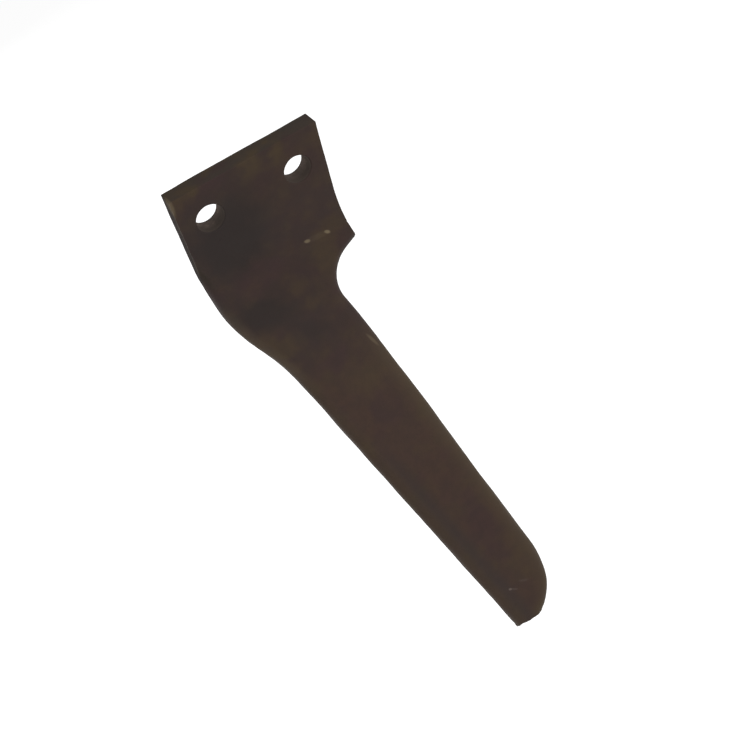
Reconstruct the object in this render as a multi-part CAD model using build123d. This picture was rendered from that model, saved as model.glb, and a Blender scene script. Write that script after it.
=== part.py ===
from build123d import *
from math import cos, radians, sin, tan
import os

# Blade of a power harrow or rotary tiller, forged in one piece from flat steel bar.
# The bar's upper end stays flat as a mounting plate with two bolt holes. Below it the bar bends
# forwards, steps in at a scoop on the right and runs down to the right as a tapering blade with
# rounded edges and a worn toe. All sizes are in millimetres and degrees.
#
# Frame: the origin is midway between the two bolt holes, on the rear face, which seats on the
# rotor. X runs along the holes, +Z is up and the blade bends towards -Y, the front.
# "Drop" is the distance down the front face from the bolt line, measured along the bend.
# "Lean" is the angle of an edge off vertical, towards +X, measured flat in the blade's plane.
# A corner's "share" is how much of the shorter straight run beside it its rounding takes up.

# bar
bar_width = 98.2
bar_thickness = 12.0
sheared_edge_radius = 0.6

# mounting plate
bolt_spacing = 60.0
bolt_hole_diameter = 18.0
bolt_hole_chamfer = 0.6        # on the front face
top_edge_height = 23.5         # above the bolt line, at the middle
top_edge_slope = 0.6           # rise of the sheared end towards the right

# bend between plate and blade
bend_drop = 46.0
bend_radius = 92.0             # on the front face, the inside of the bend
bend_angle = 33.0

# shoulder and scoop on the right
flare_drop = 22.0              # where the bar's side starts to flare
shoulder_drop = 67.5
shoulder_flare = 5.5           # how far the shoulder's corner stands out past the bar
scoop_slope = 23.5             # of the shoulder's underside, below horizontal
scoop_share = 0.72
scoop_foot_drop = 132.0        # where the scoop's side meets the blade's straight edge
scoop_foot_lean = 11.6
scoop_foot_share = 0.06

# neck on the left
neck_drop = 35.5               # where the blade's edge leaves the bar's side
neck_corner_drop = 82.5
neck_corner_inset = 4.9        # from the bar's side
neck_foot_drop = 120.5
neck_top_share = 0.12
neck_corner_share = 0.43
neck_foot_share = 0.42
runout_lean = 25.0             # how fast the rounded edge fades out up the bar's square side

# blade
root_drop = 100.0
root_width = 63.5              # along X
root_middle = 1.45             # X of the blade's middle at the root
tip_width = 46.7               # along X, between the straight edges produced to the tip
blade_lean = 10.64
front_right_radius = 8.5
front_left_radius = 7.0
back_radius = 1.5

# toe
tip_drop = 378.2               # end of the left edge
toe_length = 52.0              # from where the right edge starts to curve in to the tip
toe_side_height = 25.5         # above the tip
toe_side_inset = 4.5           # from the straight right edge produced
nick_distance = 21.8           # from the tip to the nicked corner, along X
nick_rise = 0.35               # of the nicked corner above the tip
end_hollow = 2.3               # how far the worn end curves in between them

# blank that the edges are rounded on, before its top, left side and end are cut
blank_height = 300.0           # above the bolt line
blank_spare = 40.0             # past the tip
blank_tail = 3.0               # how far the toe's curve is led on past the nicked corner
blank_tail_share = 0.8
blank_tail_lean = 25.0         # towards the right

bend_turn = radians(bend_angle)
bend_end_drop = bend_drop + bend_radius * bend_turn
blade_plane = Plane(
    origin=(
        0,
        -bar_thickness - bend_radius * (1 - cos(bend_turn)),
        -bend_drop - bend_radius * sin(bend_turn),
    ),
    x_dir=(1, 0, 0),
    z_dir=(0, -cos(bend_turn), sin(bend_turn)),
)


def place(x, drop):
    """Point of the blade's plane that lies square behind or on the front face at this place."""
    if drop >= bend_end_drop:
        return (x, bend_end_drop - drop)
    turn = min((bend_end_drop - drop) / bend_radius, bend_turn)
    flat = bend_end_drop - drop - bend_radius * turn
    return (x, bend_radius * sin(turn) + flat * cos(turn))


def middle_x(drop):
    return root_middle + (drop - root_drop) * tan(radians(blade_lean))


def half_width(drop):
    taper = (root_width - tip_width) / (tip_drop - root_drop)
    return (root_width - taper * (drop - root_drop)) / 2


def right_x(drop):
    """X of the blade's straight right edge."""
    return middle_x(drop) + half_width(drop)


def left_x(drop):
    """X of the blade's straight left edge."""
    return middle_x(drop) - half_width(drop)


tip = place(left_x(tip_drop), tip_drop)
nick = place(left_x(tip_drop) + nick_distance, tip_drop - nick_rise)


def make_bent_bar():
    """Wide bar with the side profile of the part, flat, then bent, then flat past the tip."""
    run = tip_drop + 2 * blank_spare - bend_end_drop
    faces = []
    for y, radius in ((-bar_thickness, bend_radius), (0, bend_radius + bar_thickness)):
        plate = Line((y, blank_height), (y, -bend_drop))
        bend = JernArc(plate @ 1, plate % 1, radius, -bend_angle)
        faces.append([plate, bend, Line(bend @ 1, bend @ 1 + (bend % 1) * run)])
    front, back = faces
    top = Line(front[0] @ 0, back[0] @ 0)
    end = Line(front[-1] @ 1, back[-1] @ 1)
    side = Plane(origin=(0, 0, 0), x_dir=(0, 1, 0), z_dir=(1, 0, 0))
    return extrude(side * make_face([*front, end, *back, top]), amount=2 * bar_width, both=True)


def rounded_path(points, shares):
    """Straight runs through these points, with each inner corner rounded by its share."""
    corners = [Vector(*point) for point in points]
    edges = []
    start = corners[0]
    for before, corner, after, share in zip(corners, corners[1:], corners[2:], shares):
        reach = share * min((corner - before).length, (after - corner).length)
        arc_start = corner + (before - corner).normalized() * reach
        arc_end = corner + (after - corner).normalized() * reach
        edges.append(Line(start, arc_start))
        edges.append(TangentArc(arc_start, arc_end, tangent=corner - before))
        start = arc_end
    edges.append(Line(start, corners[-1]))
    return Wire(edges)


def make_left_side():
    """Left edge from far above the plate, in along the run-out, round the neck and past the tip."""
    neck = place(-bar_width / 2, neck_drop)
    runout = (blank_height - neck[1]) * tan(radians(runout_lean))
    points = (
        (neck[0] - runout, blank_height),
        neck,
        place(neck_corner_inset - bar_width / 2, neck_corner_drop),
        place(left_x(neck_foot_drop), neck_foot_drop),
        place(left_x(tip_drop + blank_spare), tip_drop + blank_spare),
    )
    return rounded_path(points, (neck_top_share, neck_corner_share, neck_foot_share))


def make_scoop_and_right_side():
    """From the shoulder's corner round the scoop and down the blade's right edge to the toe."""
    corner_x = bar_width / 2 + shoulder_flare
    foot_x = right_x(scoop_foot_drop)
    slope = tan(radians(scoop_slope))
    lean = tan(radians(scoop_foot_lean))
    inward = (corner_x - foot_x + (scoop_foot_drop - shoulder_drop) * lean) / (1 + slope * lean)
    toe_drop = tip_drop - toe_length
    points = (
        place(corner_x, shoulder_drop),
        place(corner_x - inward, shoulder_drop + inward * slope),
        place(foot_x, scoop_foot_drop),
        place(right_x(toe_drop), toe_drop),
    )
    return rounded_path(points, (scoop_share, scoop_foot_share))


def make_outline():
    """The blank's outline as seen square to the blade, with spare metal above and past the tip."""
    half = bar_width / 2
    left = make_left_side()
    right = make_scoop_and_right_side()
    plate_side = Line((half, blank_height), place(half, flare_drop))
    flare = TangentArc(plate_side @ 1, right @ 0, tangent=plate_side % 1)
    toe_side_drop = tip_drop - toe_side_height
    toe_side = place(right_x(toe_side_drop) - toe_side_inset, toe_side_drop)
    toe = TangentArc(right @ 1, toe_side, tangent=right % 1)
    toe_end = TangentArc(toe_side, nick, tangent=toe % 1)
    tail_corner = toe_end @ 1 + (toe_end % 1) * blank_tail
    tail_end = tail_corner + Vector(blank_spare * tan(radians(blank_tail_lean)), -blank_spare)
    tail = rounded_path((toe_end @ 1, tail_corner, tail_end), [blank_tail_share])
    bottom = Line(tail @ 1, left @ 1)
    top = Line(left @ 0, plate_side @ 0)
    return make_face([left, top, plate_side, flare, right, toe, toe_end, tail, bottom])


def make_end_cut():
    """What is worn off the blank past the tip and the nicked corner."""
    worn_end = SagittaArc(nick, tip, -end_hollow)
    rest = Polyline(
        tip,
        (tip[0] - blank_spare, tip[1]),
        (tip[0] - blank_spare, tip[1] - 2 * blank_spare),
        (nick[0] + blank_spare, tip[1] - 2 * blank_spare),
        (nick[0] + blank_spare, nick[1]),
        nick,
    )
    return make_face([worn_end, rest])


def long_edges(solid, front):
    """Left and right straight edges of the blade's front or back face."""
    outwards = Axis(blade_plane.origin, blade_plane.z_dir)
    flats = solid.faces().filter_by(blade_plane).sort_by(outwards)
    flat = flats[-1] if front else flats[0]
    return flat.edges().sort_by(SortBy.LENGTH)[-2:].sort_by(Axis.X)


blade = make_bent_bar() & extrude(blade_plane * make_outline(), amount=tip_drop, both=True)

blade = fillet(long_edges(blade, front=True)[1], radius=front_right_radius)
blade = fillet(long_edges(blade, front=True)[0], radius=front_left_radius)
blade = fillet(long_edges(blade, front=False), radius=back_radius)
blade -= extrude(blade_plane * make_end_cut(), amount=2 * bar_thickness, both=True)

# the bar's square left side, into which the rounded edge runs out, and its sheared top
top_slope = radians(top_edge_slope)
top_plane = Plane(origin=(0, 0, top_edge_height), z_dir=(-sin(top_slope), 0, cos(top_slope)))
blade = split(blade, bisect_by=Plane.YZ.offset(-bar_width / 2), keep=Keep.TOP)
blade = split(blade, bisect_by=top_plane, keep=Keep.BOTTOM)

top_face = blade.faces().sort_by(Axis.Z)[-1]
right_face = blade.faces().filter_by(Axis.X).sort_by(Axis.X)[-1]
right_edges = right_face.edges().filter_by(Axis.Z)
blade = fillet(top_face.edges() + right_edges, radius=sheared_edge_radius)

for x in (-bolt_spacing / 2, bolt_spacing / 2):
    blade -= Location((x, 0, 0), (90, 0, 0)) * Cylinder(bolt_hole_diameter / 2, 3 * bar_thickness)
    front_middle = (x, -bar_thickness, 0)
    front_rim = blade.edges().filter_by(GeomType.CIRCLE).sort_by_distance(front_middle)[0]
    blade = chamfer(front_rim, length=bolt_hole_chamfer)

os.makedirs("parts", exist_ok=True)
export_step(blade, "parts/tiller_blade.step")
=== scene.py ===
"""Looks and studio for the rotary tiller blade: forged skin, finish, floor, lamps and camera."""

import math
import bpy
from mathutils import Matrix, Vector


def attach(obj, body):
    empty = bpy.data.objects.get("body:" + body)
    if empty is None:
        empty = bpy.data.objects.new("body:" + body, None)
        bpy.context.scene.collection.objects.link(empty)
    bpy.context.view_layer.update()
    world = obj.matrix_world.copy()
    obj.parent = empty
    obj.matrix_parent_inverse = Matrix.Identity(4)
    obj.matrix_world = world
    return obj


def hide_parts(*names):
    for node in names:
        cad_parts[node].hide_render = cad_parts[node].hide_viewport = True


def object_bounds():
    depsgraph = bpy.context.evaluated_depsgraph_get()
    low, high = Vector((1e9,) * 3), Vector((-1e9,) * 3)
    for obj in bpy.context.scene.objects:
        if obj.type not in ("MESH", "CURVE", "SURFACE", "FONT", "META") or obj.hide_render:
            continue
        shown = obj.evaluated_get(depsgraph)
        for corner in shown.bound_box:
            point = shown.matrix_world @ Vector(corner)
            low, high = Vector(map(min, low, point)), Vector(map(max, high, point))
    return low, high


bl_info = {
    "name": "Rotary tiller blade",
    "version": (1, 0, 0),
    "blender": (4, 5, 0),
    "location": "3D Viewport > Sidebar > Tiller Blade",
    "description": "Gives the forged tiller blade its skin and finish, and a plain studio",
    "category": "Object",
}

import bmesh
import bpy
import numpy as np
from mathutils import Matrix, Vector

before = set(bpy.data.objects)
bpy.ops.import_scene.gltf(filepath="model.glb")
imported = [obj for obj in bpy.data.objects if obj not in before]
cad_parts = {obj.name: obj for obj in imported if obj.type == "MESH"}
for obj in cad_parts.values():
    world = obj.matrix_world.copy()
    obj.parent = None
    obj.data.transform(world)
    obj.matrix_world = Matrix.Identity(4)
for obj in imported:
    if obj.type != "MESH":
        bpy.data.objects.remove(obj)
CAD_LOW, CAD_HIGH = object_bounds()
BLADE = "tiller_blade"
MM = 0.001

# sizes of the blade in millimetres and radians, as in the solid that the skin stands for
BAR_HALF = 49.1
THICKNESS = 12.0
SHEARED_RADIUS = 0.6
HOLE_SPACING = 60.0
HOLE_RADIUS = 9.0
HOLE_CHAMFER = 0.6
TOP_HEIGHT = 23.5
TOP_SLOPE = math.radians(0.6)
BEND_DROP = 46.0
BEND_RADIUS = 92.0
BEND_TURN = math.radians(33.0)
BEND_END = BEND_DROP + BEND_RADIUS * BEND_TURN
FLARE_DROP = 22.0
SHOULDER_DROP = 67.5
SHOULDER_FLARE = 5.5
SCOOP_SLOPE = math.radians(23.5)
FOOT_DROP = 132.0
FOOT_LEAN = math.radians(11.6)
SCOOP_SHARES = (0.72, 0.06)
NECK_DROP = 35.5
NECK_CORNER_DROP = 82.5
NECK_INSET = 4.9
NECK_FOOT_DROP = 120.5
NECK_SHARES = (0.12, 0.43, 0.42)
RUNOUT_LEAN = math.radians(25.0)
RUNOUT_HEIGHT = 260.0
ROOT_DROP = 100.0
ROOT_WIDTH = 63.5
ROOT_MIDDLE = 1.45
TIP_WIDTH = 46.7
BLADE_LEAN = math.radians(10.64)
RIGHT_RADIUS = 8.5
LEFT_RADIUS = 7.0
BACK_RADIUS = 1.5
TIP_DROP = 378.2
TOE_LENGTH = 52.0
TOE_SIDE_HEIGHT = 25.5
TOE_SIDE_INSET = 4.5
NICK_DISTANCE = 21.8
NICK_RISE = 0.35
END_HOLLOW = 2.3
SPARE = 40.0

# wear of the tip's left corner, in millimetres: how far its front is worn back and its back
# edge stands out, and how far across the end and up the edge this fades
TIP_WEAR = 3.0
TIP_HEEL = 2.8
TIP_CORNER = 6.2
TIP_REACH = 14.0

# the skin's grid: rows run across the blade, and columns down it, crowded near its edges
ARC_POINTS = 24
ROW_STEP = 1.0
TOP_ROWS = 6
EDGE_COLUMNS = 11
MIDDLE_COLUMNS = 44
WALL_ROWS = 9
CROWD_RADII = 1.1
CROWD_MOST = 0.42
SMOOTH_ROWS = 4
SHOULDER_LEAD = 4.0
HOLE_SIDES = 96
CUTTER_SPARE = 4.0
SLICES = 8
TINY = 1e-12

# drops between which the sections tilt from square to the plate to square to the blade, and
# how far from the slanting top and the hollowed end the rows lie level again
TILT_TOP = -12.0
TILT_FOOT = 20.0
TOP_FADE = 10.0
END_FADE = 40.0

# relief: unevenness as its shortest and longest wave, number of waves and seed, and places and
# reaches as x and drop down the front, all in millimetres
SWELL = (22.0, 90.0, 36, 3)
PEEN = (5.0, 12.0, 48, 5)
ROUGH = (1.8, 6.0, 48, 7)
HOLLOW_PLACE = (-17.0, 80.0)
HOLLOW_REACH = (17.0, 12.0)
CREASE_DROP = 52.0
CREASE_MIDDLE = 22.0
CREASE_SLANT = 0.09
CREASE_START = -4.0
CREASE_FADE = 12.0
CREASE_WIDTH = 1.3
CREASE_ROUGH = 0.5
TOE_MARKS = (
    ((37.6, 347.5), (2.6, 0.9), math.radians(38.0)),
    ((48.9, 347.0), (4.6, 1.0), math.radians(31.0)),
    ((33.0, 358.8), (3.2, 0.6), math.radians(116.0)),
)
END_REACH = 2.5
SHARP_ANGLE = math.radians(32.0)

# noises of the scale as waves to the metre, detail and roughness, and the values of a noise
# between which its mask grows
BLOTCH_NOISE = (34.0, 3.0, 0.55)
BLOTCH_LIMITS = (0.32, 0.68)
MOTTLE_NOISE = (120.0, 4.0, 0.6)
MOTTLE_LIMITS = (0.36, 0.64)
HUE_NOISE = (62.0, 2.0, 0.5)
HUE_LIMITS = (0.44, 0.74)
GRAIN_NOISE = (480.0, 4.0, 0.6)
SPECK_LIMITS = (0.60, 0.70)
PIT_CELLS = 330.0
PIT_LIMITS = (0.35, 0.05)
PITTED_NOISE = (90.0, 2.0, 0.5)
PITTED_LIMITS = (0.52, 0.66)
DRIFT_NOISE = (75.0, 1.0, 0.5)
MIDDLE_GREY = (0.5, 0.5, 0.5)
SCALE_SOCKETS = ("Blotch", "Mottle", "Plum", "Gold", "Grain", "Specks")

# bands of the finish, of the painted shade and of the painted highlights, in millimetres, each from
# where it is nothing to where it is full
BLADE_DROPS = (108.0, 165.0)
# painted shade along the lower left rounded edge grows between these drops
EDGE_SHADE_DROPS = (180.0, 250.0)
# the painted highlights along the right and left rounded edges grow between these drops
EDGE_HIGHLIGHT_DROPS = (112.0, 145.0)
SIDE_DROPS = (60.0, 30.0)
STRIP_DROPS = (80.0, 40.0)
TEMPER_DROPS = (-6.0, -20.0)
# painted shade along the lower left rounded edge: its band and rim, as distances from the left edge
EDGE_SHADE_BAND = (19.0, 10.0)
EDGE_SHADE_RIM = (1.0, 9.0)
# painted highlights along the rounded edges: bands from the right edge, the neck's edge and the
# left edge
RIGHT_HIGHLIGHT_BAND = (17.0, 0.0)
NECK_HIGHLIGHT_BAND = (8.0, 0.0)
LEFT_HIGHLIGHT_BAND = (11.0, 2.0)
END_BAND = (9.0, 0.0)
HOLE_BAND = (0.5, 0.0)
STRIP_SIDES = (-48.2, -49.0)
STRIP_START = (0.3, 1.5)
STRIP_DEPTHS = (5.0, 2.0)
SIDE_DEPTHS = (0.2, 1.0)
WALL_DEPTHS = (5.5, 8.5)
BACK_DEPTHS = (11.8, 11.0)
HOLE_DEPTHS = (3.0, 10.0)

# how much of its colour each layer lays on where its masks are full
BLOTCH_SHARE = 0.25
BLADE_SHARE = 0.6
PATCH_SHARE = 0.45
MOTTLE_SHARE = 0.22
EDGE_SHADE_SHARE = 0.5
# the next three: shares of the painted highlights on the right edge, the neck and the left edge
RIGHT_HIGHLIGHT_SHARE = 0.5
NECK_HIGHLIGHT_SHARE = 0.2
LEFT_HIGHLIGHT_SHARE = 0.25
WALL_SHARE = 0.8
SIDE_SHARE = 0.7
SHEARED_PLUM = 0.6
SHEARED_GOLD = 0.8
STRIP_SHARE = 0.85
# painted highlight along the left strip's front edge
STRIP_HIGHLIGHT = 0.22
# painted light on the holes' walls, and painted glints in them
HOLE_LIGHT_SHARE = 0.22
HOLE_REAR_LIGHT = 0.4
HOLE_LIGHT_MOTTLE = 0.7
HOLE_GLINTS = 0.8
SPECK_SHARE = 0.7

# spots of the finish, of painted shade and of painted glints: centre and reach as x and drop in
# millimetres, turn in radians, and share
SPOT_DEPTH = 11.0
SPOT_CORE = 0.35
SPOT_WANDER = 8.0
# dark spots: the first darkens the plate's left; the second and third are painted shade in the
# bend's hollow and under it
DARK_AND_SHADE_SPOTS = (
    ((-23.0, 20.0), (38.0, 42.0), 0.2, 0.95),
    ((-23.0, 82.0), (29.0, 17.0), 0.35, 0.85),
    ((-4.0, 106.0), (22.0, 12.0), 0.6, 0.5),
)
PLUM_SPOTS = (
    ((-23.0, -22.0), (16.0, 7.0), 0.0, 0.6),
    ((-14.0, 56.0), (28.0, 14.0), 0.1, 0.6),
    ((5.0, 131.0), (16.0, 12.0), 0.0, 0.6),
    ((18.0, 179.0), (16.0, 18.0), 0.3, 0.5),
    ((40.0, 294.0), (15.0, 30.0), -0.15, 0.6),
)
GOLD_SPOTS = (
    ((-44.0, -22.0), (9.0, 12.0), 0.0, 0.7),
    ((36.0, -13.0), (24.0, 10.0), 0.0, 0.35),
    ((31.0, 66.0), (13.0, 26.0), 0.1, 0.45),
    ((38.0, 52.0), (16.0, 10.0), 0.1, 0.5),
    ((-23.0, 107.0), (18.0, 9.0), 0.6, 0.6),
    ((16.0, 154.0), (20.0, 14.0), 0.3, 0.35),
    ((55.0, 330.0), (13.0, 28.0), -0.1, 0.4),
)
# painted highlights: two glints on the crease and a faint streak between them, one at the left
# strip's top and one on the right edge
GLINT_SPOTS = (
    ((29.0, 52.6), (14.0, 3.2), 0.1, 0.07),
    ((36.4, 53.3), (3.1, 1.6), 0.7, 0.72),
    ((21.8, 51.9), (3.0, 1.7), 0.4, 0.6),
    ((-49.0, -20.0), (2.5, 9.0), 0.0, 0.35),
    ((33.0, 134.0), (8.0, 1.6), 1.2, 0.25),
)
PALE_SPOTS = (
    ((48.3, 346.0), (5.5, 1.4), 0.5, 0.14),
    ((36.4, 345.6), (1.9, 1.3), 0.6, 0.65),
    ((39.0, 347.3), (4.0, 1.2), 0.6, 0.22),
)
# painted highlight: the glow along the neck's left rounded edge
NECK_HIGHLIGHT_SPOT = ((-32.0, 105.0), (52.0, 44.0), 1.2)

# the scale's shine: how far its roughness swings, how much duller its sides are, and specular
ROUGH_SWING = 0.06
SIDE_DULLNESS = 0.4
SPECULAR = 0.1

# a colour Mix node's sockets
MIX_FIRST = 6
MIX_SECOND = 7
MIX_RESULT = 2

# studio: half the floor's side in metres, the glow that makes up the floor's white where it is
# seen, and the camera's sensor in millimetres and nearest distance in metres
FLOOR_REACH = 6.0
FLOOR_LIFT = 0.49
WHITE = (1.0, 1.0, 1.0, 1.0)
SENSOR_WIDTH = 36.0
NEAREST = 0.01

# what the settings of one kind share
COLOUR = {"subtype": "COLOR", "size": 3, "min": 0.0, "max": 1.0}
DISTANCE = {"subtype": "DISTANCE", "unit": "LENGTH", "min": 0.0}
PLACE = {"subtype": "TRANSLATION", "unit": "LENGTH", "size": 3}
POWER = {"subtype": "POWER", "unit": "POWER", "min": 0.0}


class BladeRelief(bpy.types.PropertyGroup):
    """Depths of the unevenness that the forging and its use leave in the skin."""

    swell: bpy.props.FloatProperty(
        name="Swell",
        description="Height of the long, slow unevenness left by the hammer",
        default=0.00012,
        **DISTANCE,
    )
    peen: bpy.props.FloatProperty(
        name="Peening",
        description="Height of the short unevenness",
        default=0.00002,
        **DISTANCE,
    )
    hollow: bpy.props.FloatProperty(
        name="Bend hollow",
        description="Depth of the shallow hollow under the bend",
        default=0.0006,
        **DISTANCE,
    )
    crease: bpy.props.FloatProperty(
        name="Bend crease",
        description="Depth of the line that the bending tool pressed across the plate's foot",
        default=0.00022,
        **DISTANCE,
    )
    marks: bpy.props.FloatProperty(
        name="Toe marks",
        description="Depth of the dents in the toe",
        default=0.00045,
        **DISTANCE,
    )
    worn_end: bpy.props.FloatProperty(
        name="Worn end",
        description="Roughness of the worn end",
        default=0.00022,
        **DISTANCE,
    )


class BladeFinish(bpy.types.PropertyGroup):
    """Colours and surface of the forged blade."""

    scale_colour: bpy.props.FloatVectorProperty(
        name="Scale colour",
        description="Dark brown oxide scale that covers the steel",
        default=(0.0375, 0.0245, 0.0213),
        **COLOUR,
    )
    warm_colour: bpy.props.FloatVectorProperty(
        name="Warm colour",
        description="Warmer, paler brown of the patches down the blade",
        default=(0.0585, 0.0345, 0.0245),
        **COLOUR,
    )
    # nearly black brown, which in and under the bend's hollow is painted shade
    dark_and_shade_colour: bpy.props.FloatVectorProperty(
        name="Dark colour",
        description="Nearly black scale on the plate's left and in the bend's hollow",
        # Nearly black brown on the plate's left, in the mottling, on the walls and the left strip,
        # and painted shade in the bend's hollow
        default=(0.027, 0.0207, 0.0188),
        **COLOUR,
    )
    # painted highlights along the rounded edges, and real wear on the worn end
    edge_highlight_and_wear_colour: bpy.props.FloatVectorProperty(
        name="Edge highlight and wear colour",
        description="Yellowish brown where the edges and the worn end are rubbed",
        # Yellowish brown: painted highlights along the rounded edges, and wear on the worn end
        default=(0.07, 0.052, 0.029),
        **COLOUR,
    )
    plum_colour: bpy.props.FloatVectorProperty(
        name="Plum colour",
        description="Purplish brown of the temper patches",
        default=(0.0435, 0.0252, 0.0245),
        **COLOUR,
    )
    gold_colour: bpy.props.FloatVectorProperty(
        name="Gold colour",
        description="Olive brown of the paler temper patches",
        default=(0.0565, 0.0385, 0.0215),
        **COLOUR,
    )
    # painted highlights: glints and glows on the crease, the edges, the neck, the left strip and in
    # the holes
    highlight_colour: bpy.props.FloatVectorProperty(
        name="Bright colour",
        description="Bare steel on the crease, the neck and the left strip, and in the holes",
        # Painted highlights: glints on the crease and the right edge, the glow along the neck's
        # edge and the left strip, and glints in the holes
        default=(0.19, 0.148, 0.092),
        **COLOUR,
    )
    side_colour: bpy.props.FloatVectorProperty(
        name="Side colour",
        description="Dull dark brown of the sheared sides",
        default=(0.043, 0.0345, 0.0275),
        **COLOUR,
    )
    # painted light on the holes' walls; also the toe's pale marks
    pale_and_hole_light_colour: bpy.props.FloatVectorProperty(
        name="Hole colour",
        description="Brownish grey of the holes' walls and the toe's pale marks",
        # Brownish grey: painted light on the holes' walls, and the toe's pale marks
        default=(0.14, 0.108, 0.093),
        **COLOUR,
    )
    # painted shade along the lower left rounded edge
    edge_shade_colour: bpy.props.FloatVectorProperty(
        name="Edge shade colour",
        description="Greyer brown along the lower left edge",
        # Painted shade: greyer, darker brown along the lower left rounded edge
        default=(0.033, 0.0265, 0.0255),
        **COLOUR,
    )
    roughness: bpy.props.FloatProperty(
        name="Roughness",
        description="Mean roughness of the scale, from 0, polished, to 1, dull",
        subtype="FACTOR",
        min=0.0,
        max=1.0,
        default=0.6,
    )
    grain: bpy.props.FloatProperty(
        name="Grain depth",
        description="Depth of the scale's fine grain",
        default=0.00006,
        **DISTANCE,
    )


class Studio(bpy.types.PropertyGroup):
    """Floor, light and camera."""

    surround: bpy.props.FloatProperty(
        name="Surround",
        description="Strength of the even light from all round",
        min=0.0,
        default=0.55,
    )
    key_power: bpy.props.FloatProperty(
        name="Key lamp",
        description="Power of the soft lamp at the upper right",
        default=9.0,
        **POWER,
    )
    key_place: bpy.props.FloatVectorProperty(
        name="Key place",
        description="Where the soft lamp hangs",
        default=(0.75, -0.75, 0.75),
        **PLACE,
    )
    lamp_size: bpy.props.FloatProperty(
        name="Lamp size",
        description="Side of each soft square lamp",
        default=0.9,
        **DISTANCE,
    )
    fill_power: bpy.props.FloatProperty(
        name="Fill lamp",
        description="Power of the soft lamp on the left",
        default=1.8,
        **POWER,
    )
    fill_place: bpy.props.FloatVectorProperty(
        name="Fill place",
        description="Where the lamp on the left hangs",
        default=(-0.85, -0.6, 0.0),
        **PLACE,
    )
    back_power: bpy.props.FloatProperty(
        name="Back lamp",
        description="Power of the soft lamp behind",
        default=6.0,
        **POWER,
    )
    back_place: bpy.props.FloatVectorProperty(
        name="Back place",
        description="Where the lamp behind hangs",
        default=(-0.45, 1.2, 0.15),
        **PLACE,
    )
    camera_place: bpy.props.FloatVectorProperty(
        name="Camera place",
        description="Where the camera stands, in the blade's own frame",
        default=(-0.14086, -0.48312, 0.36417),
        **PLACE,
    )
    camera_aim: bpy.props.FloatVectorProperty(
        name="Camera aim",
        description="Point that the middle of the picture shows",
        default=(0.01951, -0.05508, -0.13412),
        **PLACE,
    )
    camera_roll: bpy.props.FloatProperty(
        name="Camera roll",
        description="Turn of the picture about the line of sight",
        subtype="ANGLE",
        unit="ROTATION",
        default=math.radians(-16.71),
    )
    camera_lens: bpy.props.FloatProperty(
        name="Focal length",
        description="Focal length on a 36 mm wide sensor",
        subtype="DISTANCE_CAMERA",
        unit="CAMERA",
        default=50.498,
    )
    camera_shift: bpy.props.FloatVectorProperty(
        name="Camera shift",
        description="Shift of the picture, in shares of its width",
        size=2,
        default=(-0.0006, 0.00068),
    )
    floor_gap: bpy.props.FloatProperty(
        name="Floor gap",
        description="How far the floor lies under the blade's tip",
        default=0.25,
        **DISTANCE,
    )
    floor_colour: bpy.props.FloatVectorProperty(
        name="Floor colour",
        description="Pale grey of the floor",
        default=(0.8, 0.8, 0.8),
        **COLOUR,
    )


def bend_place(drop):
    """Height of a drop in the blade's plane, as an edge-on outline point has it."""
    turn = np.clip((BEND_END - drop) / BEND_RADIUS, 0.0, BEND_TURN)
    above = np.maximum(BEND_DROP - drop, 0.0)
    curved = BEND_RADIUS * np.sin(turn) + above * math.cos(BEND_TURN)
    return np.where(drop >= BEND_END, BEND_END - drop, curved)


def rounded_path(points, shares):
    """Runs through the points, each inner corner a circle's arc that takes its share of the
    shorter run beside it. The arc is the rational quadratic curve with its corner as middle
    point, weighted by the cosine of half the turn."""
    corners = np.array(points, float)
    pieces = [corners[:1]]
    step = np.linspace(0.0, 1.0, ARC_POINTS)[:, None]
    for before, corner, after, share in zip(corners, corners[1:], corners[2:], shares):
        back, ahead = before - corner, after - corner
        reach = share * min(np.hypot(*back), np.hypot(*ahead))
        back, ahead = back / np.hypot(*back), ahead / np.hypot(*ahead)
        weight = math.cos((math.pi - math.acos(np.clip(back @ ahead, -1.0, 1.0))) / 2)
        start, middle, end = (1 - step) ** 2, 2 * step * (1 - step) * weight, step**2
        arc = start * (corner + back * reach) + middle * corner + end * (corner + ahead * reach)
        pieces.append(arc / (start + middle + end))
    pieces.append(corners[-1:])
    return np.concatenate(pieces)


def tangent_arc(start, end, heading):
    """Circle's arc from start to end that leaves along the heading: its centre is square to
    the heading, at the chord squared over twice the chord's part that way."""
    start, chord = np.array(start, float), np.subtract(end, start)
    heading = np.array(heading, float) / np.hypot(*heading)
    side = np.array([-heading[1], heading[0]])
    radius = chord @ chord / (2 * (chord @ side))
    turn = 2 * math.atan2(chord @ side, chord @ heading)
    angle = np.linspace(0.0, turn, ARC_POINTS)[:, None]
    return start + radius * (np.sin(angle) * heading + (1 - np.cos(angle)) * side)


def straight_edge(drop, side):
    """X of the blade's straight left (-1) or right (+1) edge at a drop."""
    middle = ROOT_MIDDLE + (drop - ROOT_DROP) * math.tan(BLADE_LEAN)
    width = ROOT_WIDTH - (ROOT_WIDTH - TIP_WIDTH) / (TIP_DROP - ROOT_DROP) * (drop - ROOT_DROP)
    return middle + side * width / 2


def spot(x, drop):
    """Outline point in the blade's plane."""
    return (x, float(bend_place(np.array(drop, float))))


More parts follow.
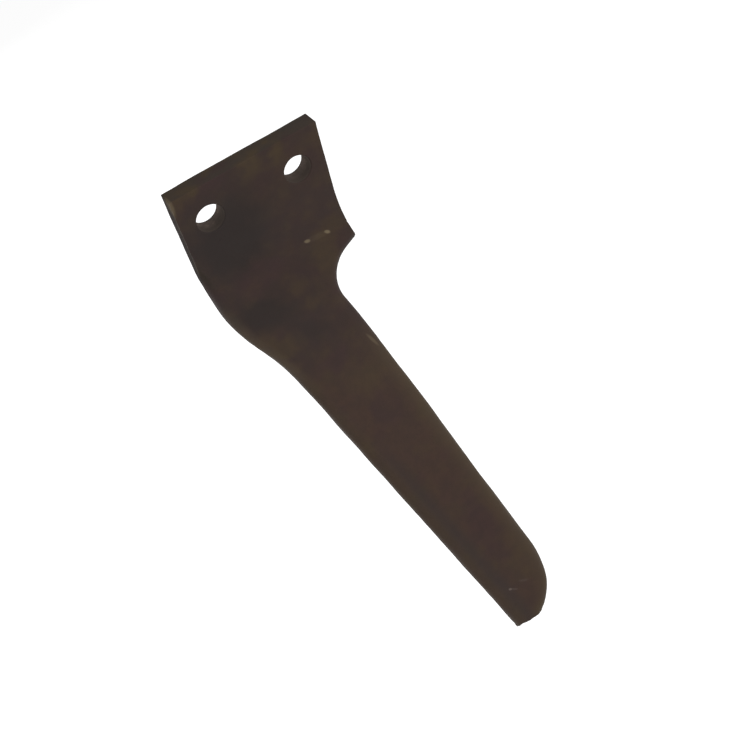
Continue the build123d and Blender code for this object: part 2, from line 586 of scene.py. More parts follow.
def outline_paths():
    """Left edge with its run-out, the plate's right side with its flare, and the right edge
    from the shoulder round the scoop to the nicked corner, each from the top down."""
    neck = spot(-BAR_HALF, NECK_DROP)
    runout = RUNOUT_HEIGHT * math.tan(RUNOUT_LEAN)
    left = rounded_path(
        (
            (neck[0] - runout, neck[1] + RUNOUT_HEIGHT),
            neck,
            spot(NECK_INSET - BAR_HALF, NECK_CORNER_DROP),
            spot(straight_edge(NECK_FOOT_DROP, -1), NECK_FOOT_DROP),
            spot(straight_edge(TIP_DROP + SPARE, -1), TIP_DROP + SPARE),
        ),
        NECK_SHARES,
    )
    shoulder = spot(BAR_HALF + SHOULDER_FLARE, SHOULDER_DROP)
    flare = tangent_arc(spot(BAR_HALF, FLARE_DROP), shoulder, (0, -1))
    bar_side = np.concatenate([[spot(BAR_HALF, -TOP_HEIGHT - SPARE)], flare])

    foot_x = straight_edge(FOOT_DROP, 1)
    slope, lean = math.tan(SCOOP_SLOPE), math.tan(FOOT_LEAN)
    inward = (shoulder[0] - foot_x + (FOOT_DROP - SHOULDER_DROP) * lean) / (1 + slope * lean)
    toe_drop = TIP_DROP - TOE_LENGTH
    scoop = rounded_path(
        (
            shoulder,
            spot(shoulder[0] - inward, SHOULDER_DROP + inward * slope),
            spot(foot_x, FOOT_DROP),
            spot(straight_edge(toe_drop, 1), toe_drop),
        ),
        SCOOP_SHARES,
    )
    side_drop = TIP_DROP - TOE_SIDE_HEIGHT
    toe_side = spot(straight_edge(side_drop, 1) - TOE_SIDE_INSET, side_drop)
    toe = tangent_arc(scoop[-1], toe_side, scoop[-1] - scoop[-2])
    nick = spot(straight_edge(TIP_DROP, -1) + NICK_DISTANCE, TIP_DROP - NICK_RISE)
    toe_end = tangent_arc(toe[-1], nick, toe[-1] - toe[-2])
    return left, bar_side, np.concatenate([scoop, toe[1:], toe_end[1:]])


def path_distance(x, height, path):
    """Distance from each point to a path, as the least of the distances to its runs, and the
    nearest run's unit direction."""
    starts, runs = path[:-1], np.diff(path, axis=0)
    runs_squared = np.maximum((runs**2).sum(1), TINY)
    dx = x[..., None] - starts[:, 0]
    dy = height[..., None] - starts[:, 1]
    share = np.clip((dx * runs[:, 0] + dy * runs[:, 1]) / runs_squared, 0.0, 1.0)
    far = np.hypot(dx - share * runs[:, 0], dy - share * runs[:, 1])
    nearest = far.argmin(-1)
    ways = runs / np.sqrt(runs_squared)[:, None]
    return np.take_along_axis(far, nearest[..., None], axis=-1)[..., 0], ways[nearest]


def rounding(distance, radius):
    """How far a rounded square edge has fallen away at this distance from it: a quarter circle."""
    gap = np.clip(radius - distance, 0.0, radius)
    return radius - np.sqrt(radius**2 - gap**2)


def rolled_edge(distance, way, side, radius, square):
    """How far the face has fallen away, along the wall, where a ball rolls between the wall and
    a face that leans from it. Square is the cosine of the lean, which is across the plate, and
    side is +1 where the face leans outwards going up the wall's inner side, else -1.
    The ball's axis lies a radius off the wall, and the fall is the gap from face to ball."""
    lean = np.sqrt(1 - square**2) / square
    slope = side * lean * way[..., 0]
    stretch = np.sqrt(1 + (lean * way[..., 1]) ** 2)
    gap = np.clip(radius - distance, -slope * radius * square, radius)
    return slope * gap + radius / square - stretch * np.sqrt(radius**2 - gap**2)


def edge_x(path, height):
    """X of a path at a height. The paths run from the top down."""
    return np.interp(height, path[::-1, 1], path[::-1, 0])


def section_frame(drop):
    """For each drop: the front point, the direction through the bar, the way to the back, and
    the cosines between that direction and the front's and the back's own normals.
    The direction is square to the plate at its top and square to the blade below."""
    turn = np.clip((drop - BEND_DROP) / BEND_RADIUS, 0.0, BEND_TURN)
    rest = np.maximum(drop - BEND_END, 0.0)
    y = -THICKNESS - BEND_RADIUS * (1 - np.cos(turn)) - rest * math.sin(BEND_TURN)
    z = -np.minimum(drop, BEND_DROP) - BEND_RADIUS * np.sin(turn) - rest * math.cos(BEND_TURN)
    share = np.clip((drop - TILT_TOP) / (TILT_FOOT - TILT_TOP), 0.0, 1.0)
    tilt = BEND_TURN * share**2 * (3 - 2 * share)
    way_y, way_z = np.cos(tilt), -np.sin(tilt)
    flat_way = -y / way_y
    from_y, from_z = y + THICKNESS + BEND_RADIUS, z + BEND_DROP
    along = from_y * way_y + from_z * way_z
    outer = (BEND_RADIUS + THICKNESS) ** 2
    curved_way = -along + np.sqrt(np.maximum(along**2 - from_y**2 - from_z**2 + outer, 0.0))
    depth = np.where(z + flat_way * way_z >= -BEND_DROP, flat_way, curved_way)
    depth = np.where(drop >= BEND_END, THICKNESS, depth)
    back_turn = np.arctan2(-(from_z + depth * way_z), from_y + depth * way_y)
    back_turn = np.where(drop >= BEND_END, BEND_TURN, np.clip(back_turn, 0.0, BEND_TURN))
    return y, z, way_y, way_z, depth, np.cos(tilt - turn), np.cos(tilt - back_turn)


def blade_grid():
    """The blade's skin as closed sections, one for each row from the top down. A section's
    front and back run from the left edge to the right edge; each point lies at a drop down the
    front, goes some way through the bar along the section's direction, and falls back by the
    roundings of the edges near it. At the tip's left corner the points also slide along the
    edge, up it at the front and down it at the back, by a bell curve across the end."""
    left, bar_side, right = outline_paths()
    near_top = SHEARED_RADIUS * (1 - np.cos(np.linspace(0, math.pi / 2, TOP_ROWS))) - TOP_HEIGHT
    runs = [near_top]
    for start, stop in ((near_top[-1], SHOULDER_DROP), (SHOULDER_DROP, TIP_DROP)):
        runs.append(np.linspace(start, stop, round((stop - start) / ROW_STEP))[1:])
    rows = np.concatenate(runs)
    height = bend_place(rows)

    def limits(height, to_top):
        above = height >= right[0, 1]
        inset = rounding(to_top, SHEARED_RADIUS)
        low = np.maximum(edge_x(left, height), -BAR_HALF) + inset
        high = np.where(above, edge_x(bar_side, height), edge_x(right, height)) - inset
        return low, high, above

    low, high, _ = limits(height, rows + TOP_HEIGHT)
    quarter = 1 - np.cos(np.linspace(0, math.pi / 2, EDGE_COLUMNS))
    middle = np.linspace(0.0, 1.0, MIDDLE_COLUMNS)[1:-1]
    window = np.ones(2 * SMOOTH_ROWS + 1) / (2 * SMOOTH_ROWS + 1)
    crowd = []
    for limit, radius in ((low, LEFT_RADIUS), (high, RIGHT_RADIUS)):
        square = 1 / np.hypot(1.0, np.gradient(limit, height))
        square = np.convolve(np.pad(square, SMOOTH_ROWS, mode="edge"), window, mode="valid")
        reach = np.minimum(CROWD_RADII * radius / square, CROWD_MOST * (high - low))
        crowd.append(reach[:, None] * quarter)
    first = low[:, None] + crowd[0]
    last = (high[:, None] - crowd[1])[:, ::-1]
    between = first[:, -1:] + (last[:, :1] - first[:, -1:]) * middle
    share = (np.concatenate([first, between, last], axis=1) - low[:, None]) / (high - low)[:, None]

    to_top = (rows + TOP_HEIGHT)[:, None] + 0 * share
    fade_top = np.clip(1 - to_top / TOP_FADE, 0.0, 1.0)
    fade_end = np.clip(1 - (TIP_DROP - rows[:, None]) / END_FADE, 0.0, 1.0) ** 2
    end_rise = NICK_RISE * share + 4 * END_HOLLOW * share * (1 - share)
    top_rise = math.tan(TOP_SLOPE) * BAR_HALF * (2 * share - 1)
    drop = rows[:, None] - fade_top * top_rise - fade_end * end_rise
    height = bend_place(drop)
    low, high, above = limits(height, to_top)
    x = low + share * (high - low)

    extended = np.concatenate([[right[0] + (right[0] - right[1]) * SHOULDER_LEAD], right])
    left_edge, right_edge = path_distance(x, height, left), path_distance(x, height, extended)
    sheared = np.where(above, high - x, BAR_HALF)
    corner = np.maximum(rounding(sheared, SHEARED_RADIUS), rounding(to_top, SHEARED_RADIUS))
    y, z, way_y, way_z, depth, front_square, back_square = section_frame(drop)
    front_fall = np.maximum(
        rolled_edge(*left_edge, -1, LEFT_RADIUS, front_square),
        rolled_edge(*right_edge, 1, RIGHT_RADIUS, front_square),
    )
    back_fall = np.maximum(
        rolled_edge(*left_edge, 1, BACK_RADIUS, back_square),
        rolled_edge(*right_edge, -1, BACK_RADIUS, back_square),
    )
    front = np.maximum(front_fall, corner / front_square)
    back = depth - np.maximum(back_fall, corner / back_square)

    worn = np.exp(-(((x - low) / TIP_CORNER) ** 2))
    worn *= np.clip(1 - (TIP_DROP - rows[:, None]) / TIP_REACH, 0.0, 1.0) ** 2
    slope = (straight_edge(TIP_DROP, -1) - straight_edge(ROOT_DROP, -1)) / (TIP_DROP - ROOT_DROP)

    def skin(columns, way):
        through = way / THICKNESS
        slide = worn[:, columns] * (TIP_HEEL * through - TIP_WEAR * (1 - through))
        skin_x = x[:, columns] + slide * slope
        skin_y = y[:, columns] + way * way_y[:, columns] - slide * math.sin(BEND_TURN)
        skin_z = z[:, columns] + way * way_z[:, columns] - slide * math.cos(BEND_TURN)
        return np.stack([skin_x, skin_y, skin_z], axis=-1)

    wall = np.linspace(0.0, 1.0, WALL_ROWS + 2)[1:-1]
    every = slice(None)
    right_wall = front[:, -1:] + (back - front)[:, -1:] * wall
    left_wall = back[:, :1] + (front - back)[:, :1] * wall
    right_side, left_side = skin(slice(-1, None), right_wall), skin(slice(0, 1), left_wall)
    sides = [skin(every, front), right_side, skin(every, back)[:, ::-1], left_side]
    return np.concatenate(sides, axis=1), x.shape[1]


def grid_faces(index):
    """Quads between neighbouring entries of a grid of vertex numbers."""
    a, b, c, d = index[:-1, :-1], index[:-1, 1:], index[1:, 1:], index[1:, :-1]
    return np.stack([a, b, c, d], axis=-1).reshape(-1, 4)


def skin_faces(loops, columns):
    """Quads round and along the sections, with a ruled grid across each end."""
    rows, around = loops.shape[:2]
    index = np.arange(rows * around).reshape(rows, around)
    sides = grid_faces(np.concatenate([index, index[:, :1]], axis=1))
    points, faces = [loops.reshape(-1, 3)], [sides]
    count = rows * around
    wall = np.linspace(0.0, 1.0, WALL_ROWS + 2)[1:-1, None, None]
    for row, order in ((0, -1), (-1, 1)):
        front = slice(0, columns)
        back = slice(columns + WALL_ROWS, 2 * columns + WALL_ROWS)
        inner = np.arange(WALL_ROWS * (columns - 2)).reshape(WALL_ROWS, columns - 2) + count
        count += inner.size
        near, far = loops[row, front], loops[row, back][::-1]
        points.append((near + (far - near) * wall)[:, 1:-1].reshape(-1, 3))
        right_side = index[row, columns : columns + WALL_ROWS]
        left_side = index[row, 2 * columns + WALL_ROWS :][::-1]
        core = np.concatenate([left_side[:, None], inner, right_side[:, None]], axis=1)
        cap = np.concatenate([index[row, front][None], core, index[row, back][::-1][None]])
        faces.append(grid_faces(cap)[:, ::order])
    return np.concatenate(points), np.concatenate(faces).tolist()


def hole_cutter():
    """Two plugs, each a profile turned about the hole's axis, with a cone at the front rim."""
    profile = (
        (-THICKNESS - CUTTER_SPARE, HOLE_RADIUS + HOLE_CHAMFER + CUTTER_SPARE),
        (-THICKNESS + HOLE_CHAMFER, HOLE_RADIUS),
        (THICKNESS, HOLE_RADIUS),
    )
    y, radius = np.array(profile).T[..., None]
    turn = np.linspace(0.0, 2 * math.pi, HOLE_SIDES, endpoint=False)
    points, faces = [], []
    for side in (-1, 1):
        x = side * HOLE_SPACING / 2 + radius * np.cos(turn)
        ring = np.stack([x, y + 0 * turn, radius * np.sin(turn)], axis=-1)
        index = np.arange(ring[..., 0].size).reshape(ring.shape[:2]) + sum(len(p) for p in points)
        points.append(ring.reshape(-1, 3))
        faces += grid_faces(np.concatenate([index, index[:, :1]], axis=1)).tolist()
        faces += [index[0, ::-1].tolist(), index[-1].tolist()]
    return np.concatenate(points), faces


def mesh_object(name, points, faces):
    """Mesh object at the origin from points in millimetres, its faces turned outwards."""
    mesh = bpy.data.meshes.new(name)
    mesh.from_pydata((points * MM).tolist(), [], faces)
    made = bmesh.new()
    made.from_mesh(mesh)
    bmesh.ops.recalc_face_normals(made, faces=made.faces)
    made.to_mesh(mesh)
    made.free()
    piece = bpy.data.objects.new(name, mesh)
    bpy.context.scene.collection.objects.link(piece)
    return piece


def cut_holes(piece):
    """Takes the two bolt holes out of the skin, so that their walls close it again."""
    cutter = mesh_object("cutter", *hole_cutter())
    cut = piece.modifiers.new("holes", "BOOLEAN")
    cut.operation = "DIFFERENCE"
    cut.solver = "EXACT"
    cut.object = cutter
    bpy.context.view_layer.update()
    ready = piece.evaluated_get(bpy.context.evaluated_depsgraph_get())
    mesh = bpy.data.meshes.new_from_object(ready)
    piece.modifiers.clear()
    spent = (piece.data, cutter.data)
    piece.data = mesh
    mesh.name = piece.name
    bpy.data.objects.remove(cutter)
    for old in spent:
        bpy.data.meshes.remove(old)


def lay_flat(points):
    """Millimetre points as x, drop down the front and depth behind it, square to the bend."""
    x, y, z = points.T
    from_y, from_z = y + THICKNESS + BEND_RADIUS, z + BEND_DROP
    turn = np.arctan2(-from_z, from_y)
    below_y = from_y - BEND_RADIUS * math.cos(BEND_TURN)
    below_z = from_z + BEND_RADIUS * math.sin(BEND_TURN)
    down = -below_y * math.sin(BEND_TURN) - below_z * math.cos(BEND_TURN)
    through = below_y * math.cos(BEND_TURN) - below_z * math.sin(BEND_TURN)
    drop = np.where(turn <= 0, -z, BEND_DROP + BEND_RADIUS * turn)
    depth = np.where(turn <= 0, y + THICKNESS, np.hypot(from_y, from_z) - BEND_RADIUS)
    below = down > 0
    return x, np.where(below, BEND_END + down, drop), np.where(below, through, depth)


def soft_noise(points, shortest, longest, waves, seed):
    """Smooth unevenness with about unit spread: a sum of cosine waves that run in random
    directions at random lengths between the two, in millimetres."""
    draw = np.random.default_rng(seed)
    ways = draw.normal(size=(waves, 3))
    ways /= np.linalg.norm(ways, axis=1)[:, None]
    lengths = shortest * (longest / shortest) ** draw.random(waves)
    phases = draw.random(waves) * 2 * math.pi
    turns = points @ (ways * (2 * math.pi / lengths)[:, None]).T
    return np.cos(turns + phases).sum(1) / math.sqrt(waves / 2)


def bump_at(x, drop, centre, reach, turn=0.0):
    """Bell-shaped rise at a place on the front, of this reach along and across its turn."""
    across, down = x - centre[0], drop - centre[1]
    along = across * math.cos(turn) + down * math.sin(turn)
    square = down * math.cos(turn) - across * math.sin(turn)
    return np.exp(-((along / reach[0]) ** 2) - (square / reach[1]) ** 2)


def raise_relief(piece, surface):
    """Works the forging's unevenness into the skin along its normals, and keeps where each
    point lies for the finish: its place laid flat, and its distances from the rims."""
    mesh = piece.data
    points, normals = np.empty((2, len(mesh.vertices) * 3), np.float32)
    mesh.vertices.foreach_get("co", points)
    mesh.vertices.foreach_get("normal", normals)
    points, normals = points.reshape(-1, 3).astype(float) / MM, normals.reshape(-1, 3)

    x, drop, depth = lay_flat(points)
    height = bend_place(drop)
    left, _, right = outline_paths()

    def rim_distance(path):
        slices = zip(np.array_split(x, SLICES), np.array_split(height, SLICES))
        return np.concatenate([path_distance(a, b, path)[0] for a, b in slices])

    left_rim, right_rim = rim_distance(left), rim_distance(right)
    end_rim = np.maximum(TIP_DROP - drop, 0.0)
    hole_rim = np.abs(np.hypot(np.abs(x) - HOLE_SPACING / 2, points[:, 2]) - HOLE_RADIUS)

    front = np.clip(1 - depth / THICKNESS, 0.0, 1.0)
    swell, peen, rough = (soft_noise(points, *waves) for waves in (SWELL, PEEN, ROUGH))
    crease_line = CREASE_DROP + (x - CREASE_MIDDLE) * CREASE_SLANT
    crease = np.exp(-(((drop - crease_line) / CREASE_WIDTH) ** 2))
    crease *= np.clip((x - CREASE_START) / CREASE_FADE, 0.0, 1.0) * (1 + CREASE_ROUGH * rough)
    near_end = np.exp(-end_rim / END_REACH)
    rise = surface.swell * swell + surface.peen * peen
    rise -= surface.hollow * bump_at(x, drop, HOLLOW_PLACE, HOLLOW_REACH) * front
    rise -= surface.crease * crease * front
    for centre, reach, turn in TOE_MARKS:
        rise -= surface.marks * bump_at(x, drop, centre, reach, turn) * front
    rise += surface.worn_end * near_end * rough
    points = points * MM + normals * rise[:, None]
    mesh.vertices.foreach_set("co", points.astype(np.float32).ravel())

    for name, columns in (("lay", (x, drop, depth)), ("rims", (left_rim, right_rim, end_rim))):
        kept = mesh.attributes.new(name, "FLOAT_VECTOR", "POINT")
        values = np.stack(columns, axis=-1) * MM
        kept.data.foreach_set("vector", values.astype(np.float32).ravel())
    kept = mesh.attributes.new("hole_rim", "FLOAT", "POINT")
    kept.data.foreach_set("value", (hole_rim * MM).astype(np.float32))
    mesh.shade_smooth()
    mesh.set_sharp_from_angle(angle=SHARP_ANGLE)
    mesh.update()


def put(tree, kind, inputs=None, **settings):
    """Adds a node of this kind with these settings. An input takes a value or another socket."""
    made = tree.nodes.new(kind)
    for name, value in settings.items():
        setattr(made, name, value)
    for name, value in (inputs or {}).items():
        if isinstance(value, bpy.types.NodeSocket):
            tree.links.new(value, made.inputs[name])
        else:
            made.inputs[name].default_value = value
    return made


def maths(tree, operation, *values, clamp=False):
    """Result of a Math node on these values or sockets."""
    inputs = dict(enumerate(values))
    return put(tree, "ShaderNodeMath", inputs, operation=operation, use_clamp=clamp).outputs[0]


def product(tree, masks, share=1.0):
    """All the masks and the share, multiplied."""
    for mask in masks:
        share = maths(tree, "MULTIPLY", mask, share, clamp=True)
    return share


def ramp(tree, value, limits, kind="SMOOTHSTEP"):
    """Mask that grows from 0 at the first limit to 1 at the second, whichever is the larger."""
    low, high = (0.0, 1.0) if limits[0] < limits[1] else (1.0, 0.0)
    inputs = {"From Min": min(limits), "From Max": max(limits), "To Min": low, "To Max": high}
    inputs["Value"] = value
    return put(tree, "ShaderNodeMapRange", inputs, interpolation_type=kind).outputs[0]


def noise(tree, place, size):
    """Noise node at a place. Its size is its waves to the metre, detail and roughness."""
    inputs = dict(zip(("Scale", "Detail", "Roughness"), size))
    return put(tree, "ShaderNodeTexNoise", {"Vector": place, **inputs})


def empty_tree(owner):
    """Node tree of a material or world, with nothing in it."""
    owner.use_nodes = True
    owner.node_tree.nodes.clear()
    return owner.node_tree


def new_group(name, inputs, results):
    """Empty shader group, the sockets that its inputs come from and those its results go to."""
    tree = bpy.data.node_groups.new(name, "ShaderNodeTree")
    for socket, kind in inputs.items():
        tree.interface.new_socket(socket, in_out="INPUT", socket_type=kind)
    for socket in results:
        tree.interface.new_socket(socket, in_out="OUTPUT", socket_type="NodeSocketFloat")
    start, end = tree.nodes.new("NodeGroupInput"), tree.nodes.new("NodeGroupOutput")
    return tree, start.outputs, end.inputs


def make_spot_group():
    """Mask that is 1 round a centre and falls smoothly to 0 at its reach, which may be turned:
    the place less the centre, turned back and divided by the reach, gives how far out it is."""
    inputs = dict.fromkeys(("Place", "Centre", "Reach"), "NodeSocketVector")
    inputs["Turn"] = "NodeSocketFloat"
    tree, given, results = new_group("soft_spot", inputs, ["Mask"])
    place, centre, reach, turn = (given[name] for name in inputs)
    away = put(tree, "ShaderNodeVectorMath", {0: place, 1: centre}, operation="SUBTRACT")
    inputs = {"Vector": away.outputs[0], "Angle": turn}
    turned = put(tree, "ShaderNodeVectorRotate", inputs, rotation_type="Z_AXIS", invert=True)
    shares = put(tree, "ShaderNodeVectorMath", {0: turned.outputs[0], 1: reach}, operation="DIVIDE")
    far = put(tree, "ShaderNodeVectorMath", {0: shares.outputs[0]}, operation="LENGTH")
    tree.links.new(ramp(tree, far.outputs["Value"], (1.0, SPOT_CORE)), results["Mask"])
    return tree


def make_scale_group():
    """Forge scale: masks of wide blotches, smaller mottling, plum and gold patches and small
    specks, and the height of the fine grain, less the pits, which come in clusters."""
    tree, given, results = new_group("forge_scale", {"Place": "NodeSocketVector"}, SCALE_SOCKETS)
    place = given["Place"]
    wide, small, fine, clusters = (
        noise(tree, place, size).outputs[0]
        for size in (BLOTCH_NOISE, MOTTLE_NOISE, GRAIN_NOISE, PITTED_NOISE)
    )
    hues = noise(tree, place, HUE_NOISE).outputs["Color"]
    red, green, _ = put(tree, "ShaderNodeSeparateColor", {0: hues}).outputs
    cells = put(tree, "ShaderNodeTexVoronoi", {"Vector": place, "Scale": PIT_CELLS})
    pits = ramp(tree, cells.outputs["Distance"], PIT_LIMITS)
    pitted = ramp(tree, clusters, PITTED_LIMITS, "LINEAR")
    masks = (
        ramp(tree, wide, BLOTCH_LIMITS),
        ramp(tree, small, MOTTLE_LIMITS),
        ramp(tree, red, HUE_LIMITS),
        ramp(tree, green, HUE_LIMITS),
        maths(tree, "SUBTRACT", fine, maths(tree, "MULTIPLY", pits, pitted)),
        ramp(tree, fine, SPECK_LIMITS, "LINEAR"),
    )
    for name, mask in zip(SCALE_SOCKETS, masks):
        tree.links.new(mask, results[name])
    return tree


class Layers:
    """Builds a colour in layers: each layer shifts it towards a colour by masks times a share."""

    def __init__(self, tree, colour):
        self.tree = tree
        self.colour = colour

    def add(self, colour, share, *masks):
        inputs = {
            "Factor": product(self.tree, masks, share),
            MIX_FIRST: self.colour,
            MIX_SECOND: (*colour, 1.0),
        }
        mix = put(self.tree, "ShaderNodeMix", inputs, data_type="RGBA", clamp_factor=True)
        self.colour = mix.outputs[MIX_RESULT]


def make_forged_material(finish):
    """Brown forge scale in layers of colour: blotched, warmer down the blade, with plum and
    gold patches, darker on the plate's left, with painted shade in and under the bend's hollow;
    painted shade along the lower left edge and painted highlights along the edges and the neck;
    darker on the walls, dull on the sheared sides, with a painted highlight on the left strip;
    painted light and glints inside the holes; painted glints on the crease and edges, pale marks
    on the toe and rubbed specks on the worn end. The grain is bump."""
    material = bpy.data.materials.new("forged_scale")
    tree = empty_tree(material)
    spot_group, scale_group = make_spot_group(), make_scale_group()

    place = put(tree, "ShaderNodeTexCoord").outputs["Object"]
    lay, rims, hole_rim = (
        put(tree, "ShaderNodeAttribute", attribute_name=name).outputs[kind]
        for name, kind in (("lay", "Vector"), ("rims", "Vector"), ("hole_rim", "Fac"))
    )
    across, drop, depth = put(tree, "ShaderNodeSeparateXYZ", {0: lay}).outputs
    left_rim, right_rim, end_rim = put(tree, "ShaderNodeSeparateXYZ", {0: rims}).outputs
    scale = put(tree, "ShaderNodeGroup", {"Place": place}, node_tree=scale_group)
    blotch, mottle, plum, gold, grain, specks = (scale.outputs[k] for k in SCALE_SOCKETS)

    # the colour of a noise, less its middle grey, makes the outlines of the large spots wander
    wandering = noise(tree, place, DRIFT_NOISE).outputs["Color"]
    for operation, inputs in (
        ("SUBTRACT", {1: MIDDLE_GREY}),
        ("SCALE", {"Scale": 2 * SPOT_WANDER * MM}),
        ("ADD", {1: lay}),
    ):
        made = put(tree, "ShaderNodeVectorMath", {0: wandering, **inputs}, operation=operation)
        wandering = made.outputs[0]

    def band(value, limits):
        return ramp(tree, value, [MM * limit for limit in limits])

    def spot_mask(where, centre, reach, turn):
        inputs = {
            "Place": where,
            "Centre": (centre[0] * MM, centre[1] * MM, 0.0),
            "Reach": (reach[0] * MM, reach[1] * MM, SPOT_DEPTH * MM),
            "Turn": turn,
        }
        return put(tree, "ShaderNodeGroup", inputs, node_tree=spot_group).outputs["Mask"]

    def add_spots(where, colour, spots):
        for centre, reach, turn, share in spots:
            layers.add(colour, share, spot_mask(where, centre, reach, turn))

    base = put(tree, "ShaderNodeRGB").outputs[0]
    base.default_value = (*finish.scale_colour, 1.0)
    layers = Layers(tree, base)
    layers.add(finish.warm_colour, BLOTCH_SHARE, blotch)
    layers.add(finish.warm_colour, BLADE_SHARE, band(drop, BLADE_DROPS))
    layers.add(finish.plum_colour, PATCH_SHARE, plum)
    layers.add(finish.gold_colour, PATCH_SHARE, gold)
    add_spots(wandering, finish.plum_colour, PLUM_SPOTS)
    add_spots(wandering, finish.gold_colour, GOLD_SPOTS)
    # the plate's darker left, and painted shade in and under the bend's hollow
    add_spots(wandering, finish.dark_and_shade_colour, DARK_AND_SHADE_SPOTS)
    layers.add(finish.dark_and_shade_colour, MOTTLE_SHARE, mottle)

    # painted shade along the lower left rounded edge
    edge_shade = (band(drop, EDGE_SHADE_DROPS), band(left_rim, EDGE_SHADE_BAND), band(left_rim, EDGE_SHADE_RIM))
    layers.add(finish.edge_shade_colour, EDGE_SHADE_SHARE, *edge_shade)
    # painted highlights along the right and the left rounded edges
    highlight_drops = band(drop, EDGE_HIGHLIGHT_DROPS)
    layers.add(finish.edge_highlight_and_wear_colour, RIGHT_HIGHLIGHT_SHARE, band(right_rim, RIGHT_HIGHLIGHT_BAND), highlight_drops)
    # painted highlight along the neck's left rounded edge
    neck = spot_mask(lay, *NECK_HIGHLIGHT_SPOT)
    layers.add(finish.highlight_colour, NECK_HIGHLIGHT_SHARE, neck, band(left_rim, NECK_HIGHLIGHT_BAND))
    layers.add(finish.edge_highlight_and_wear_colour, LEFT_HIGHLIGHT_SHARE, band(left_rim, LEFT_HIGHLIGHT_BAND), highlight_drops)

    past_back = band(depth, BACK_DEPTHS)
    walls = product(tree, (band(depth, WALL_DEPTHS), past_back))
    layers.add(finish.dark_and_shade_colour, WALL_SHARE, walls)
    sides = product(tree, (band(depth, SIDE_DEPTHS), past_back, band(drop, SIDE_DROPS)))
    layers.add(finish.side_colour, SIDE_SHARE, sides)
    sheared = band(drop, TEMPER_DROPS)
    layers.add(finish.plum_colour, SHEARED_PLUM, sheared, plum)
    layers.add(finish.gold_colour, SHEARED_GOLD, sheared, gold)
    strip = product(tree, (band(across, STRIP_SIDES), band(drop, STRIP_DROPS)))
    strip_start = band(depth, STRIP_START)
    layers.add(finish.dark_and_shade_colour, STRIP_SHARE, strip, strip_start)
    # painted highlight, mottled, along the left strip's front edge
    strip_highlight_masks = (strip, mottle, strip_start, band(depth, STRIP_DEPTHS))
    layers.add(finish.highlight_colour, STRIP_HIGHLIGHT, *strip_highlight_masks)

    # painted light on the holes' walls, lighter and mottled at the rear, with painted glints
    hole = product(tree, (band(hole_rim, HOLE_BAND), sides))
    hole_rear = product(tree, (hole, band(depth, HOLE_DEPTHS)))
    layers.add(finish.pale_and_hole_light_colour, HOLE_LIGHT_SHARE, hole)
    layers.add(finish.pale_and_hole_light_colour, HOLE_REAR_LIGHT, hole_rear)
    layers.add(finish.pale_and_hole_light_colour, HOLE_LIGHT_MOTTLE, hole_rear, mottle)
    layers.add(finish.highlight_colour, HOLE_GLINTS, hole_rear, specks)
    # painted glints on the crease, the left strip's top and the right edge
    add_spots(lay, finish.highlight_colour, GLINT_SPOTS)
    add_spots(lay, finish.pale_and_hole_light_colour, PALE_SPOTS)
    # wear: rubbed specks on the worn end
    layers.add(finish.edge_highlight_and_wear_colour, SPECK_SHARE, specks, band(end_rim, END_BAND))

    least = finish.roughness - ROUGH_SWING
    rough = maths(tree, "MULTIPLY_ADD", blotch, 2 * ROUGH_SWING, least)
    edges = maths(tree, "MAXIMUM", sides, walls)
    dull = maths(tree, "MULTIPLY_ADD", edges, SIDE_DULLNESS, rough, clamp=True)
    height = maths(tree, "MULTIPLY", grain, finish.grain)
    bump = put(tree, "ShaderNodeBump", {"Height": height, "Strength": 1.0, "Distance": 1.0})
    surface = {
        "Base Color": layers.colour,
        "Roughness": dull,
        "Normal": bump.outputs[0],
        "Specular IOR Level": SPECULAR,
    }
    shader = put(tree, "ShaderNodeBsdfPrincipled", surface)
    put(tree, "ShaderNodeOutputMaterial", {"Surface": shader.outputs["BSDF"]})
    return material


class OBJECT_OT_forge_blade(bpy.types.Operator):
    """Makes the blade's skin with its relief and gives it the forged finish."""

    bl_idname = "object.tiller_forge_blade"
    bl_label = "Forge Blade"

    def execute(self, context):
        scene = context.scene
        piece = mesh_object("forged_blade", *skin_faces(*blade_grid()))
        cut_holes(piece)
        raise_relief(piece, scene.tiller_relief)
        piece.data.materials.clear()
        piece.data.materials.append(make_forged_material(scene.tiller_finish))
        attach(piece, "root")
        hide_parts(BLADE)
        return {"FINISHED"}


class OBJECT_OT_make_studio(bpy.types.Operator):
    """Makes the pale floor, the soft light and the camera."""

    bl_idname = "object.tiller_make_studio"
    bl_label = "Make Studio"

    def execute(self, context):
        scene, studio = context.scene, context.scene.tiller_studio
        scene.view_settings.view_transform = "Standard"
        make_world(scene, studio)
        make_floor(scene, studio)
        for name in ("key", "fill", "back"):
            make_lamp(scene, studio, name)
        make_camera(scene, studio)
        return {"FINISHED"}


def seen_rays(tree):
    """1 for rays from the camera, a reflection or a glass, and 0 for rays that only light."""
    path = put(tree, "ShaderNodeLightPath").outputs
    direct = maths(tree, "ADD", path["Is Camera Ray"], path["Is Glossy Ray"])
    return maths(tree, "ADD", direct, path["Is Transmission Ray"], clamp=True)


def make_world(scene, studio):
    """White where it is seen or mirrored, an even soft light elsewhere."""
    world = bpy.data.worlds.new("studio")
    scene.world = world
    tree = empty_tree(world)
    light, white = (
        put(tree, "ShaderNodeBackground", {"Color": WHITE, "Strength": strength}).outputs[0]
        for strength in (studio.surround, 1.0)
    )
    mix = put(tree, "ShaderNodeMixShader", {0: seen_rays(tree), 1: light, 2: white})
    put(tree, "ShaderNodeOutputWorld", {"Surface": mix.outputs["Shader"]})


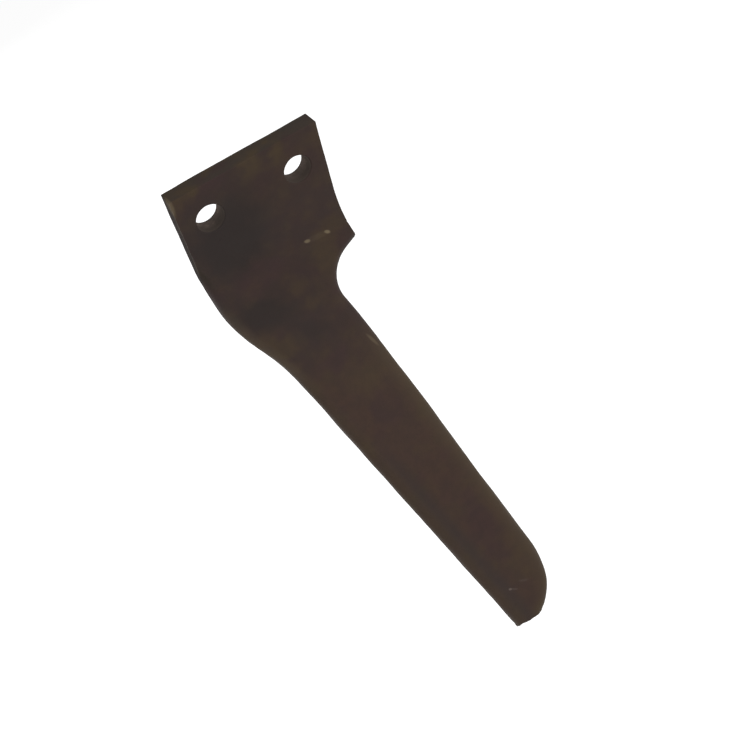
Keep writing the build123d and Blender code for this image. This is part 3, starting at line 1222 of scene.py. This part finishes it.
def make_floor(scene, studio):
    """Wide pale floor, which glows a little where it is seen, so that it is white there."""
    reach, height = FLOOR_REACH, CAD_LOW.z - studio.floor_gap
    corners = [(x, y, height) for y in (-reach, reach) for x in (-reach, reach)]
    mesh = bpy.data.meshes.new("floor")
    mesh.from_pydata(corners, [], [(0, 1, 3, 2)])
    floor = bpy.data.objects.new("floor", mesh)
    scene.collection.objects.link(floor)
    material = bpy.data.materials.new("pale_floor")
    tree = empty_tree(material)
    matt = put(tree, "ShaderNodeBsdfDiffuse", {"Color": (*studio.floor_colour, 1.0)})
    lift = maths(tree, "MULTIPLY", seen_rays(tree), FLOOR_LIFT)
    glow = put(tree, "ShaderNodeEmission", {"Strength": lift})
    both = put(tree, "ShaderNodeAddShader", {0: matt.outputs["BSDF"], 1: glow.outputs["Emission"]})
    put(tree, "ShaderNodeOutputMaterial", {"Surface": both.outputs["Shader"]})
    mesh.materials.append(material)


def make_lamp(scene, studio, name):
    """Soft square lamp, with the place and power of its name, that faces the blade's middle."""
    data = bpy.data.lights.new(name + "_lamp", "AREA")
    data.size = studio.lamp_size
    data.energy = getattr(studio, name + "_power")
    lamp = bpy.data.objects.new(name + "_lamp", data)
    scene.collection.objects.link(lamp)
    lamp.location = getattr(studio, name + "_place")
    aim = (CAD_LOW + CAD_HIGH) / 2 - lamp.location
    lamp.rotation_euler = aim.to_track_quat("-Z", "Y").to_euler()


def make_camera(scene, studio):
    """Camera that looks from its place to its aim, rolled about the line of sight."""
    data = bpy.data.cameras.new("camera")
    data.lens = studio.camera_lens
    data.sensor_width = SENSOR_WIDTH
    data.shift_x, data.shift_y = studio.camera_shift
    data.clip_start = NEAREST
    camera = bpy.data.objects.new("camera", data)
    scene.collection.objects.link(camera)
    place = Vector(studio.camera_place)
    sight = Vector(studio.camera_aim) - place
    turn = sight.to_track_quat("-Z", "Y").to_matrix().to_4x4()
    roll = Matrix.Rotation(studio.camera_roll, 4, "Z")
    camera.matrix_world = Matrix.Translation(place) @ turn @ roll
    scene.camera = camera


class VIEW3D_PT_tiller_blade(bpy.types.Panel):
    """Lists the steps that make and light the blade, with their settings."""

    bl_label = "Tiller Blade"
    bl_idname = "VIEW3D_PT_tiller_blade"
    bl_space_type = "VIEW_3D"
    bl_region_type = "UI"
    bl_category = "Tiller Blade"

    def draw(self, context):
        scene = context.scene
        self.list_settings(scene.tiller_relief)
        self.list_settings(scene.tiller_finish)
        self.layout.operator(OBJECT_OT_forge_blade.bl_idname)
        self.list_settings(scene.tiller_studio)
        self.layout.operator(OBJECT_OT_make_studio.bl_idname)

    def list_settings(self, group):
        for name in group.bl_rna.properties.keys():
            if name not in ("rna_type", "name"):
                self.layout.prop(group, name)


OPERATORS = (OBJECT_OT_forge_blade, OBJECT_OT_make_studio)
CLASSES = (BladeRelief, BladeFinish, Studio, *OPERATORS, VIEW3D_PT_tiller_blade)


def register():
    for part in CLASSES:
        bpy.utils.register_class(part)
    bpy.types.Scene.tiller_relief = bpy.props.PointerProperty(type=BladeRelief)
    bpy.types.Scene.tiller_finish = bpy.props.PointerProperty(type=BladeFinish)
    bpy.types.Scene.tiller_studio = bpy.props.PointerProperty(type=Studio)


def unregister():
    del bpy.types.Scene.tiller_studio
    del bpy.types.Scene.tiller_finish
    del bpy.types.Scene.tiller_relief
    for part in reversed(CLASSES):
        bpy.utils.unregister_class(part)


def main():
    """Registers the add-on, and makes the blade and the studio."""
    register()
    bpy.ops.object.tiller_forge_blade()
    bpy.ops.object.tiller_make_studio()


if __name__ == "__main__":
    main()
